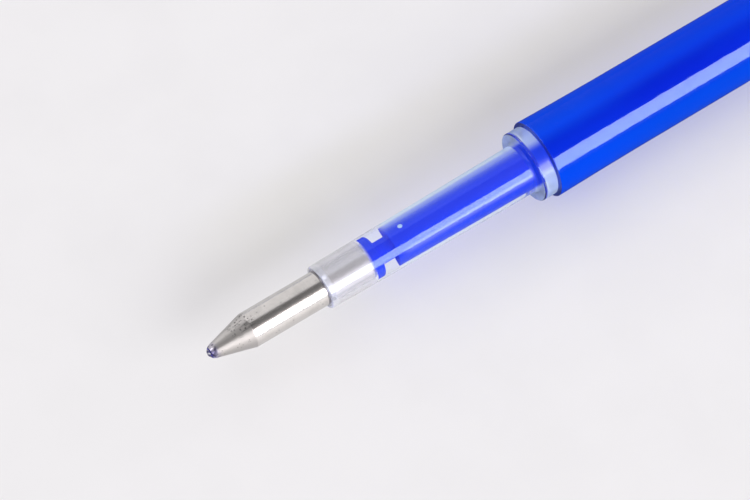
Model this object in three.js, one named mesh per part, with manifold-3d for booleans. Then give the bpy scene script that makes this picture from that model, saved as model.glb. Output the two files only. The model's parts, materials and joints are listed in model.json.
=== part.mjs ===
// Gel pen refill: a ball point in a metal tip, a clear moulded tip holder with a flange,
// and a wide ink tube with a follower behind the ink and a vented plug in its tail.
// Millimetres. The refill lies on z = 0 with its axis along +X, the writing ball at -X.
// Every piece is drawn about its own +Y axis, and one group turns them all to +X.
import * as THREE from 'three';
import { mergeVertices } from 'three/addons/utils/BufferGeometryUtils.js';
import Module from 'manifold-3d';

// Writing ball and its crimped socket
const BALL_DIAMETER = 0.7;
const BALL_GAP = 0.02;
const BALL_PROUD = 0.2;
const LIP_WALL = 0.035;
const CRIMP_LENGTH = 0.22;
const CRIMP_ANGLE = THREE.MathUtils.degToRad(25);
const CAPILLARY_DIAMETER = 0.36;
const CAPILLARY_LENGTH = 0.5;
const SEAT_CHANNELS = 5;
const CHANNEL_WIDTH = 0.08;
const CHANNEL_REACH = 0.12;
const CHANNEL_DEPTH = 0.3;

// Metal tip
const CONE_LENGTH = 2.72;
const SHANK_DIAMETER = 2.3;
const SHANK_EXPOSED = 5.18;
const SHANK_INSERTED = 3.3;
const SHANK_CHAMFER = 0.12;
const FEED_BORE_DIAMETER = 0.6;
const FEED_BORE_PAST_CONE = 0.6;
const SPRING_BORE_DIAMETER = 1.2;
const BORE_TAPER_LENGTH = 0.5;
const RIM_DIAMETER = 0.8;
const RIM_LENGTH = 0.3;

// Ball spring: a coil with a straight pin at its front
const SPRING_WIRE = 0.14;
const SPRING_TURNS = 9;
const SPRING_CLEARANCE = 0.08;
const SPRING_LEAD_LENGTH = 0.5;
const SPRING_LEAD_TURNS = 0.5;

// Clear tip holder
const COLLAR_WALL = 0.28;
const COLLAR_LEAD_LENGTH = 0.4;
const COLLAR_LEAD_WIDTH = 0.13;
const CHAMBER_DIAMETER = 1.78;
const CHAMBER_LENGTH = 0.65;
const STOP_LENGTH = 1;
const STOP_BORE_DIAMETER = 0.96;
const NOSE_LENGTH = 15;
const NECK_BORE_FRONT = 1.72;
const NECK_BORE_REAR = 1.86;
const NECK_REAR_DIAMETER = 3.28;
const NECK_FILLET = 0.2;
const FLANGE_DIAMETER = 4.72;
const FLANGE_THICKNESS = 1;
const SPIGOT_LENGTH = 5.95;
const SPIGOT_BORE_DIAMETER = 3.5;
const SPIGOT_BORE_DEPTH = 5.3;
const SPIGOT_LEAD_IN = 0.7;
const SPIGOT_LEAD_DROP = 0.1;
const FUNNEL_LENGTH = 0.9;
const MOULDED_EDGE = 0.06;

// Ink tube, swollen at its mouth where it is pressed over the spigot
const TUBE_DIAMETER = 5.08;
const TUBE_WALL = 0.42;
const TUBE_LENGTH = 86.05;
const TUBE_STRETCH = 0.07;
const BELL_LENGTH = 4.35;
const TUBE_EDGE = 0.05;

// Follower, the air behind it, and the tail plug
const FLOAT_DIAMETER = 3;
const FLOAT_LENGTH = 5.5;
const FLOAT_NOSE_LENGTH = 1.2;
const FLOAT_NOSE_DIAMETER = 1.5;
const FLOAT_CUP_DIAMETER = 1.8;
const FLOAT_CUP_DEPTH = 2.5;
const GREASE_AHEAD = 2.5;
const AIR_SPACE = 7.5;
const PLUG_DEPTH = 4.5;
const PLUG_WALL = 0.55;
const PLUG_HEAD_THICKNESS = 0.75;
const PLUG_LEAD_IN = 0.4;
const PLUG_LEAD_DROP = 0.2;
const PLUG_EDGE_RADIUS = 0.4;
const VENT_DIAMETER = 0.8;

// Clearances between neighbours
const FIT_CLEARANCE = 0.02;
const FILL_CLEARANCE = 0.02;
const SEAT_CLEARANCE = 0.05;

// Facets round the axis, one of them flat to the table
const SEGMENTS = 32;
const ARC_STEPS = 8;
const BALL_RINGS = 16;
const COIL_STEPS = 12;
const WIRE_SIDES = 6;

// Radii that neighbours share
const ballRadius = BALL_DIAMETER / 2;
const socketRadius = ballRadius + BALL_GAP;
const capillaryRadius = CAPILLARY_DIAMETER / 2;
const shankRadius = SHANK_DIAMETER / 2;
const springBoreRadius = SPRING_BORE_DIAMETER / 2;
const tipBoreRadius = shankRadius + FIT_CLEARANCE;
const chamberRadius = CHAMBER_DIAMETER / 2;
const stopBoreRadius = STOP_BORE_DIAMETER / 2;
const spigotBoreRadius = SPIGOT_BORE_DIAMETER / 2;
const tubeRadius = TUBE_DIAMETER / 2;
const tubeBoreRadius = tubeRadius - TUBE_WALL;
const bellRadius = tubeRadius + TUBE_STRETCH;
const bellBoreRadius = tubeBoreRadius + TUBE_STRETCH;
const spigotRadius = tubeBoreRadius - FIT_CLEARANCE;
const spigotRootRadius = bellBoreRadius - FIT_CLEARANCE;
const floatRadius = FLOAT_DIAMETER / 2;
const noseRadius = FLOAT_NOSE_DIAMETER / 2;

// Stations along the refill, measured back from the front of the ball
const seatBottom = ballRadius + Math.sqrt(socketRadius ** 2 - capillaryRadius ** 2);
const coneRear = BALL_PROUD + CONE_LENGTH;
const springBoreFront = coneRear + FEED_BORE_PAST_CONE + BORE_TAPER_LENGTH;
const collarFront = coneRear + SHANK_EXPOSED;
const tipRear = collarFront + SHANK_INSERTED;
const chamberFront = tipRear + SEAT_CLEARANCE;
const stopFront = chamberFront + CHAMBER_LENGTH;
const stopRear = stopFront + STOP_LENGTH;
const flangeFront = collarFront + NOSE_LENGTH;
const flangeRear = flangeFront + FLANGE_THICKNESS;
const spigotRear = flangeRear + SPIGOT_LENGTH;
const spigotBoreFront = spigotRear - SPIGOT_BORE_DEPTH;
const tubeFront = flangeRear + SEAT_CLEARANCE;
const bellRear = tubeFront + BELL_LENGTH;
const tubeRear = tubeFront + TUBE_LENGTH;
const plugFront = tubeRear - PLUG_DEPTH;
const plugHeadFront = tubeRear + SEAT_CLEARANCE;
const refillRear = plugHeadFront + PLUG_HEAD_THICKNESS;
const followerRear = plugFront - AIR_SPACE;
const followerFront = followerRear - FLOAT_LENGTH - GREASE_AHEAD;
const inkFront = spigotRear + SEAT_CLEARANCE;
const inkRear = followerFront - SEAT_CLEARANCE;

const wasm = await Module();
wasm.setup();

// Turns an outline of [station, radius] points into a solid of revolution about Y.
function turned(outline) {
  const points = outline.map(([station, radius]) => new THREE.Vector2(radius, station));
  return new THREE.LatheGeometry(points, SEGMENTS, Math.PI / SEGMENTS);
}

// Closes an outline that runs back along the outer wall and forward along the bore.
function hollow(outer, bore) {
  return turned([...outer, ...bore, outer[0]]);
}

// Points of an arc in the outline's plane, from angle start to angle end.
function arc(station, radius, size, start, end) {
  return Array.from({ length: ARC_STEPS + 1 }, (_, i) => {
    const angle = THREE.MathUtils.lerp(start, end, i / ARC_STEPS);
    return [station + size * Math.cos(angle), radius + size * Math.sin(angle)];
  });
}

function toSolid(geometry) {
  const bare = geometry.clone();
  bare.deleteAttribute('normal');
  bare.deleteAttribute('uv');
  const merged = mergeVertices(bare);
  return new wasm.Manifold(new wasm.Mesh({
    numProp: 3,
    vertProperties: new Float32Array(merged.attributes.position.array),
    triVerts: new Uint32Array(merged.index.array),
  }));
}

function toGeometry(solid) {
  const mesh = solid.getMesh();
  const geometry = new THREE.BufferGeometry();
  geometry.setAttribute('position', new THREE.BufferAttribute(mesh.vertProperties, 3));
  geometry.setIndex(new THREE.BufferAttribute(mesh.triVerts, 1));
  geometry.computeVertexNormals();
  return geometry;
}

// Cuts the radial ink channels that let ink past the ball into the seat.
function cutSeatChannels(tip) {
  const reach = capillaryRadius + CHANNEL_REACH;
  let solid = toSolid(tip);
  for (let i = 0; i < SEAT_CHANNELS; i += 1) {
    const channel = new THREE.BoxGeometry(CHANNEL_WIDTH, CHANNEL_DEPTH, reach);
    channel.translate(0, seatBottom, reach / 2);
    channel.rotateY((i * 2 * Math.PI) / SEAT_CHANNELS);
    solid = solid.subtract(toSolid(channel));
  }
  return toGeometry(solid);
}

// Socket wall that follows the ball from the crimped lip to the capillary.
function socketWall() {
  const lipAngle = Math.acos((BALL_PROUD - ballRadius) / socketRadius);
  const seatAngle = Math.asin(capillaryRadius / socketRadius);
  return arc(ballRadius, 0, socketRadius, seatAngle, lipAngle);
}

function tipBody() {
  const wall = socketWall();
  const lipRadius = wall[ARC_STEPS][1] + LIP_WALL;
  const crimpRear = BALL_PROUD + CRIMP_LENGTH;
  const capillaryRear = seatBottom + CAPILLARY_LENGTH;
  const feedRadius = FEED_BORE_DIAMETER / 2;
  const rimRadius = RIM_DIAMETER / 2;
  const rimFront = tipRear - RIM_LENGTH;
  const outer = [
    [BALL_PROUD, lipRadius],
    [crimpRear, lipRadius + CRIMP_LENGTH * Math.tan(CRIMP_ANGLE)],
    [coneRear, shankRadius],
    [tipRear - SHANK_CHAMFER, shankRadius],
    [tipRear, shankRadius - SHANK_CHAMFER],
  ];
  const bore = [
    [tipRear, rimRadius],
    [rimFront, rimRadius],
    [rimFront, springBoreRadius],
    [springBoreFront, springBoreRadius],
    [springBoreFront - BORE_TAPER_LENGTH, feedRadius],
    [capillaryRear, feedRadius],
    [capillaryRear, capillaryRadius],
    ...wall,
  ];
  return cutSeatChannels(hollow(outer, bore));
}

function writingBall() {
  const ball = new THREE.SphereGeometry(ballRadius, SEGMENTS, BALL_RINGS);
  return ball.translate(0, ballRadius, 0);
}

// Centre line of the ball spring: a pin on the axis that winds out into a coil.
class SpringLine extends THREE.Curve {
  constructor() {
    super();
    this.pinFront = BALL_DIAMETER + BALL_GAP;
    this.coilFront = springBoreFront + SPRING_LEAD_LENGTH;
    this.coilRear = tipRear - RIM_LENGTH - SPRING_CLEARANCE - SPRING_WIRE / 2;
    this.coilRadius = springBoreRadius - SPRING_CLEARANCE - SPRING_WIRE / 2;
    this.pinRear = this.coilFront - SPRING_LEAD_LENGTH;
    this.pinShare = 1 / (SPRING_TURNS + 1);
    this.allTurns = SPRING_TURNS + SPRING_LEAD_TURNS;
  }

  // The pin takes the share of one turn, and the lead and the coil take the rest.
  getPoint(t, target = new THREE.Vector3()) {
    if (t <= this.pinShare) {
      const along = THREE.MathUtils.lerp(this.pinFront, this.pinRear, t / this.pinShare);
      return target.set(0, along, 0);
    }
    const turns = ((t - this.pinShare) / (1 - this.pinShare)) * this.allTurns;
    const lead = Math.min(turns / SPRING_LEAD_TURNS, 1);
    const coil = Math.max(turns - SPRING_LEAD_TURNS, 0) / SPRING_TURNS;
    const radius = this.coilRadius * THREE.MathUtils.smoothstep(lead, 0, 1);
    const angle = turns * 2 * Math.PI;
    const station = THREE.MathUtils.lerp(this.pinRear, this.coilFront, lead)
      + coil * (this.coilRear - this.coilFront);
    return target.set(radius * Math.cos(angle), station, radius * Math.sin(angle));
  }
}

function ballSpring() {
  const line = new SpringLine();
  line.arcLengthDivisions = 2000;
  const section = new THREE.Shape();
  for (let i = 0; i < WIRE_SIDES; i += 1) {
    const angle = (i * 2 * Math.PI) / WIRE_SIDES;
    const corner = [Math.cos(angle), Math.sin(angle)].map((v) => (v * SPRING_WIRE) / 2);
    if (i === 0) section.moveTo(...corner);
    else section.lineTo(...corner);
  }
  const steps = Math.round((SPRING_TURNS + 1) * COIL_STEPS);
  return new THREE.ExtrudeGeometry(section, { extrudePath: line, steps, bevelEnabled: false });
}

function tipHolder() {
  const collarRadius = tipBoreRadius + COLLAR_WALL;
  const neckRadius = NECK_REAR_DIAMETER / 2;
  const flangeRadius = FLANGE_DIAMETER / 2;
  const filletFront = flangeFront - NECK_FILLET;
  const outer = [
    [collarFront, collarRadius - MOULDED_EDGE],
    [collarFront + MOULDED_EDGE, collarRadius],
    ...arc(filletFront, neckRadius + NECK_FILLET, NECK_FILLET, -Math.PI / 2, 0),
    [flangeFront, flangeRadius - MOULDED_EDGE],
    [flangeFront + MOULDED_EDGE, flangeRadius],
    [flangeRear - MOULDED_EDGE, flangeRadius],
    [flangeRear, flangeRadius - MOULDED_EDGE],
    [flangeRear, spigotRootRadius],
    [bellRear, spigotRadius],
    [spigotRear - SPIGOT_LEAD_IN, spigotRadius],
    [spigotRear, spigotRadius - SPIGOT_LEAD_DROP],
  ];
  const bore = [
    [spigotRear, spigotBoreRadius],
    [spigotBoreFront, spigotBoreRadius],
    [spigotBoreFront - FUNNEL_LENGTH, NECK_BORE_REAR / 2],
    [stopRear, NECK_BORE_FRONT / 2],
    [stopRear, stopBoreRadius],
    [stopFront, stopBoreRadius],
    [stopFront, chamberRadius],
    [chamberFront, chamberRadius],
    [chamberFront, tipBoreRadius],
    [collarFront + COLLAR_LEAD_LENGTH, tipBoreRadius],
    [collarFront, tipBoreRadius + COLLAR_LEAD_WIDTH],
  ];
  return hollow(outer, bore);
}

// Ink that fills the holder's bore, from the back of the tip to the mouth of the spigot.
function neckInk() {
  return turned([
    [chamberFront, 0],
    [chamberFront, chamberRadius - FILL_CLEARANCE],
    [stopFront - FILL_CLEARANCE, chamberRadius - FILL_CLEARANCE],
    [stopFront - FILL_CLEARANCE, stopBoreRadius - FILL_CLEARANCE],
    [stopRear + FILL_CLEARANCE, stopBoreRadius - FILL_CLEARANCE],
    [stopRear + FILL_CLEARANCE, NECK_BORE_FRONT / 2 - FILL_CLEARANCE],
    [spigotBoreFront - FUNNEL_LENGTH, NECK_BORE_REAR / 2 - FILL_CLEARANCE],
    [spigotBoreFront, spigotBoreRadius - FILL_CLEARANCE],
    [spigotRear, spigotBoreRadius - FILL_CLEARANCE],
    [spigotRear, 0],
  ]);
}

function reservoirTube() {
  const outer = [
    [tubeFront, bellRadius - TUBE_EDGE],
    [tubeFront + TUBE_EDGE, bellRadius],
    [bellRear, tubeRadius],
    [tubeRear - TUBE_EDGE, tubeRadius],
    [tubeRear, tubeRadius - TUBE_EDGE],
  ];
  const bore = [
    [tubeRear, tubeBoreRadius],
    [bellRear, tubeBoreRadius],
    [tubeFront, bellBoreRadius],
  ];
  return hollow(outer, bore);
}

function inkColumn() {
  const radius = tubeBoreRadius - FILL_CLEARANCE;
  return turned([
    [inkFront, 0],
    [inkFront, radius],
    [inkRear, radius],
    [inkRear, 0],
  ]);
}

// Grease plug that seals the ink and wraps the float on all sides but its rear.
function followerGrease() {
  const radius = tubeBoreRadius - FILL_CLEARANCE;
  const pocketFront = followerFront + GREASE_AHEAD - FIT_CLEARANCE;
  const pocketRadius = floatRadius + FIT_CLEARANCE;
  return turned([
    [followerFront, 0],
    [followerFront, radius],
    [followerRear, radius],
    [followerRear, pocketRadius],
    [pocketFront + FLOAT_NOSE_LENGTH, pocketRadius],
    [pocketFront, noseRadius + FIT_CLEARANCE],
    [pocketFront, 0],
  ]);
}

function followerFloat() {
  const front = followerFront + GREASE_AHEAD;
  const cupRadius = FLOAT_CUP_DIAMETER / 2;
  return turned([
    [front, 0],
    [front, noseRadius],
    [front + FLOAT_NOSE_LENGTH, floatRadius],
    [followerRear, floatRadius],
    [followerRear, cupRadius],
    [followerRear - FLOAT_CUP_DEPTH, cupRadius],
    [followerRear - FLOAT_CUP_DEPTH, 0],
  ]);
}

function tailPlug() {
  const stemRadius = tubeBoreRadius - FIT_CLEARANCE;
  const ventRadius = VENT_DIAMETER / 2;
  const outer = [
    [plugFront, stemRadius - PLUG_LEAD_DROP],
    [plugFront + PLUG_LEAD_IN, stemRadius],
    [plugHeadFront, stemRadius],
    [plugHeadFront, tubeRadius - TUBE_EDGE],
    [plugHeadFront + TUBE_EDGE, tubeRadius],
    ...arc(refillRear - PLUG_EDGE_RADIUS, tubeRadius - PLUG_EDGE_RADIUS, PLUG_EDGE_RADIUS, Math.PI / 2, 0),
  ];
  const bore = [
    [refillRear, ventRadius],
    [plugHeadFront, ventRadius],
    [plugHeadFront, stemRadius - PLUG_WALL],
    [plugFront, stemRadius - PLUG_WALL],
  ];
  return hollow(outer, bore);
}

const carbide = { color: 0x4a4a58, roughness: 0.2, metalness: 1 };
const nickelSilver = { color: 0xc9c5c1, roughness: 0.28, metalness: 1 };
const springSteel = { color: 0xb4b4b8, roughness: 0.3, metalness: 1 };
const clearPlastic = { color: 0xe6e6ee, roughness: 0.12, metalness: 0, transparent: true, opacity: 0.35 };
const tubePlastic = { color: 0xd8dcf2, roughness: 0.15, metalness: 0, transparent: true, opacity: 0.35 };
const blueInk = { color: 0x0a36e0, roughness: 0.4, metalness: 0 };
const clearGrease = { color: 0xe8e4d0, roughness: 0.2, metalness: 0, transparent: true, opacity: 0.5 };
const milkyPlastic = { color: 0xeceae4, roughness: 0.4, metalness: 0 };

const PIECES = {
  writing_ball: [writingBall, carbide],
  tip_body: [tipBody, nickelSilver],
  ball_spring: [ballSpring, springSteel],
  tip_holder: [tipHolder, clearPlastic],
  neck_ink: [neckInk, blueInk],
  reservoir_tube: [reservoirTube, tubePlastic],
  ink_column: [inkColumn, blueInk],
  follower_grease: [followerGrease, clearGrease],
  follower_float: [followerFloat, milkyPlastic],
  tail_plug: [tailPlug, milkyPlastic],
};

// The axis group lays the refill down: its +Y becomes +X, at the height of the bell's lowest facet.
const axis = new THREE.Group();
axis.rotation.z = -Math.PI / 2;
axis.position.set(-refillRear / 2, 0, bellRadius * Math.cos(Math.PI / SEGMENTS));
for (const [name, [shape, finish]] of Object.entries(PIECES)) {
  const mesh = new THREE.Mesh(shape(), new THREE.MeshStandardMaterial(finish));
  mesh.name = name;
  axis.add(mesh);
}

const refill = new THREE.Group();
refill.add(axis);

export default refill;
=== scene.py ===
"""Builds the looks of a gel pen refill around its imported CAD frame.

A station is a distance in millimetres behind the front of the writing ball, and a radius is a
distance in millimetres from the refill's axis. Nearly every piece is turned about that axis.
Other lengths are in millimetres too, except MERGE_DISTANCE, NEAREST_SEEN and the sizes of the
studio's table and softboxes, which are in metres. A scale or a stretch counts the lumps of a
pattern to a millimetre, and a cut gives the values where a pattern's mask is 0 and 1.
"""

import json
import logging
import math
from collections.abc import Mapping, Sequence
from dataclasses import dataclass
from enum import Enum
from typing import TypeAlias

import bmesh
import bpy
from mathutils import Matrix, Vector


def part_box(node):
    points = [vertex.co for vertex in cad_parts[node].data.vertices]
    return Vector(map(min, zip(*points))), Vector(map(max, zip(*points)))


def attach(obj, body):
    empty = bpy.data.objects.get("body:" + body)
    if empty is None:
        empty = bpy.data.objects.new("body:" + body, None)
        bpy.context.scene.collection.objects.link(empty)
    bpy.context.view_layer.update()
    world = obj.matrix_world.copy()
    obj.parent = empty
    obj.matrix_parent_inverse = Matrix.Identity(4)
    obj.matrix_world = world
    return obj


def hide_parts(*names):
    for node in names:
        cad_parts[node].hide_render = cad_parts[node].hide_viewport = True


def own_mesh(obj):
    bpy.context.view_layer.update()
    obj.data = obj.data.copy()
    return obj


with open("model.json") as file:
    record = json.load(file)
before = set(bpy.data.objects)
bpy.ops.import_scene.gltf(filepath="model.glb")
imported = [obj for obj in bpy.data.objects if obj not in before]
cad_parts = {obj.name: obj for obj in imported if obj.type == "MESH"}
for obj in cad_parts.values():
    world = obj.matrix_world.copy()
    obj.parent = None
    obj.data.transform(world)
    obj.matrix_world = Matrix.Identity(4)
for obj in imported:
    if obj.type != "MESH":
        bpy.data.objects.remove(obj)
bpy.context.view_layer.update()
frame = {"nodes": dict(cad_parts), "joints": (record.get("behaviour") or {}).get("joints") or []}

LOG = logging.getLogger("gel_refill")
MM = 0.001
MERGE_DISTANCE = 2e-8
SHARP_ANGLE = math.radians(32)
ROUNDING_STEPS = 5
ARC_STEPS = 14
RING_STEPS = 96
TUBE_STEPS = 128
HOLDING_LENGTH = 0.04
HOLDING_SHARE = 0.12
WETTED_OVERLAP = 0.008
SIDE_LEAN = 25.0
SENSOR_WIDTH = 36.0
NEAREST_SEEN = 0.01
BLACK = (0.0, 0.0, 0.0, 1.0)

Colour: TypeAlias = tuple[float, float, float]
Triple: TypeAlias = tuple[float, float, float]
Span: TypeAlias = tuple[float, float]
Window: TypeAlias = tuple[Span, Span]
Feed: TypeAlias = "Signal | float | Sequence[float]"


class Body(Enum):
    """CAD bodies that the pieces ride on."""

    REFILL = "refill"
    BALL = "ball"
    FOLLOWER = "follower"


class Slot(Enum):
    """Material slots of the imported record."""

    CARBIDE = "carbide"
    TIP_METAL = "tip_metal"
    SPRING_STEEL = "spring_steel"
    CLEAR_PLASTIC = "clear_plastic"
    TUBE_PLASTIC = "tube_plastic"
    BLUE_INK = "blue_ink"
    GREASE = "grease"
    MILKY_PLASTIC = "milky_plastic"


class Lathe:
    """The refill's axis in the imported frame, with the measures that turning needs."""

    def __init__(self, widest_diameter: float) -> None:
        """Reads the axis from the tube, the widest piece, and the zero station from the ball.

        Args:
            widest_diameter: Diameter in millimetres across the corners of the faceted tube.
        """
        low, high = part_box("reservoir_tube")
        self.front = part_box("writing_ball")[0].x
        self.height = (low.z + high.z) / 2
        self.inset = (high.z - low.z) / (widest_diameter * MM)

    def place(self, station: float, radius: float) -> Vector:
        """A point above the axis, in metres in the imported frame."""
        return Vector((self.front + station * MM, 0, self.height + radius * self.inset * MM))

    def ends(self, node: str) -> Span:
        """Front and rear stations of a CAD node."""
        low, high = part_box(node)
        return (low.x - self.front) / MM, (high.x - self.front) / MM


class Outline:
    """A wire beside the axis, drawn corner by corner and then turned into a solid."""

    def __init__(self, lathe: Lathe) -> None:
        """Starts an empty wire.

        Args:
            lathe: The axis that the wire is turned about.
        """
        self.lathe = lathe
        self.wire = bmesh.new()
        self.first: bmesh.types.BMVert | None = None
        self.last: bmesh.types.BMVert | None = None
        self.roundings: list[tuple[bmesh.types.BMVert, float]] = []

    def to(self, station: float, radius: float, rounding: float = 0.0) -> "Outline":
        """Draws the wire on to a corner.

        Args:
            station: Distance behind the ball's front, in millimetres.
            radius: Distance from the axis, in millimetres.
            rounding: How far from the corner its rounding starts, in millimetres.

        Returns:
            This outline, for the next corner.
        """
        corner = self.wire.verts.new(self.lathe.place(station, radius))
        if self.last is None:
            self.first = corner
        else:
            self.wire.edges.new((self.last, corner))
        if rounding:
            self.roundings.append((corner, rounding))
        self.last = corner
        return self

    def sweep(self, station: float, degrees: float) -> "Outline":
        """Carries the wire's end round a centre on the axis, which draws an arc.

        Args:
            station: The centre's station, in millimetres.
            degrees: The angle of the arc, from the front over the top to the rear.

        Returns:
            This outline, for the next corner.
        """
        arc = bmesh.ops.spin(self.wire, geom=[self.last], cent=self.lathe.place(station, 0),
                             axis=(0, 1, 0), angle=math.radians(degrees), steps=ARC_STEPS)
        self.last = arc["geom_last"][0]
        return self

    def hold(self) -> None:
        """Cuts each edge near both ends, so that shading stays true up to the roundings."""
        for edge in self.wire.edges[:]:
            start, end = (corner.co.copy() for corner in edge.verts)
            reach = (end - start) * min(HOLDING_SHARE, HOLDING_LENGTH * MM / (end - start).length)
            cuts = bmesh.ops.subdivide_edges(self.wire, edges=[edge], cuts=2)["geom_inner"]
            inner = [c for c in cuts if isinstance(c, bmesh.types.BMVert)]
            near, far = sorted(inner, key=lambda c: (c.co - start).length)
            near.co, far.co = start + reach, end - reach

    def turn(self, name: str, closed: bool = True, steps: int = RING_STEPS) -> bpy.types.Object:
        """Rounds the corners and turns the wire about the axis.

        Args:
            name: Name of the new piece.
            closed: True for a ring, False for a wire that starts and ends on the axis.
            steps: Faces round the axis.

        Returns:
            The new piece, at the origin with its place in its mesh.
        """
        if closed:
            self.wire.edges.new((self.last, self.first))
        for corner, rounding in self.roundings:
            bmesh.ops.bevel(self.wire, geom=[corner], offset=rounding * MM, offset_type="OFFSET",
                            affect="VERTICES", segments=ROUNDING_STEPS, profile=0.5, material=-1,
                            clamp_overlap=True)
        self.hold()
        bmesh.ops.spin(self.wire, geom=self.wire.verts[:] + self.wire.edges[:],
                       cent=self.lathe.place(0, 0), axis=(1, 0, 0), dvec=(0, 0, 0),
                       angle=2 * math.pi, steps=steps, use_merge=True)
        return finished_piece(name, self.wire)


def finished_piece(name: str, mesh_in_work: bmesh.types.BMesh) -> bpy.types.Object:
    """Merges doubles, turns the faces outwards and makes the piece.

    Args:
        name: Name of the new piece.
        mesh_in_work: The shape, which is freed.

    Returns:
        The new piece in the scene, shaded smooth with sharp corners.
    """
    bmesh.ops.remove_doubles(mesh_in_work, verts=mesh_in_work.verts[:], dist=MERGE_DISTANCE)
    bmesh.ops.recalc_face_normals(mesh_in_work, faces=mesh_in_work.faces[:])
    mesh = bpy.data.meshes.new(name)
    mesh_in_work.to_mesh(mesh)
    mesh_in_work.free()
    mesh.shade_smooth()
    mesh.set_sharp_from_angle(angle=SHARP_ANGLE)
    piece = bpy.data.objects.new(name, mesh)
    bpy.context.scene.collection.objects.link(piece)
    return piece


class Signal:
    """One shader socket that joins in Python expressions, which add Math nodes."""

    def __init__(self, recipe: "Recipe", node: bpy.types.Node, out: str | int) -> None:
        """Keeps the node and which of its outputs this is."""
        self.recipe, self.node, self.out = recipe, node, out

    @property
    def socket(self) -> bpy.types.NodeSocket:
        """The output socket itself."""
        return self.node.outputs[self.out]

    def part(self, out: str | int) -> "Signal":
        """Another output of the same node."""
        return Signal(self.recipe, self.node, out)

    def _math(self, operation: str, first: Feed, second: Feed) -> "Signal":
        """A Math node on two values."""
        return self.recipe.add("ShaderNodeMath", {"operation": operation}, {0: first, 1: second})

    def __add__(self, other: Feed) -> "Signal":
        """This plus other."""
        return self._math("ADD", self, other)

    def __radd__(self, other: Feed) -> "Signal":
        """Other plus this."""
        return self._math("ADD", other, self)

    def __sub__(self, other: Feed) -> "Signal":
        """This minus other."""
        return self._math("SUBTRACT", self, other)

    def __rsub__(self, other: Feed) -> "Signal":
        """Other minus this."""
        return self._math("SUBTRACT", other, self)

    def __mul__(self, other: Feed) -> "Signal":
        """This times other."""
        return self._math("MULTIPLY", self, other)

    def __rmul__(self, other: Feed) -> "Signal":
        """Other times this."""
        return self._math("MULTIPLY", other, self)

    def __truediv__(self, other: Feed) -> "Signal":
        """This over other."""
        return self._math("DIVIDE", self, other)

    def __rtruediv__(self, other: Feed) -> "Signal":
        """Other over this."""
        return self._math("DIVIDE", other, self)

    def __pow__(self, other: Feed) -> "Signal":
        """This to the power of other."""
        return self._math("POWER", self, other)

    def __rpow__(self, other: Feed) -> "Signal":
        """Other to the power of this."""
        return self._math("POWER", other, self)


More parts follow.
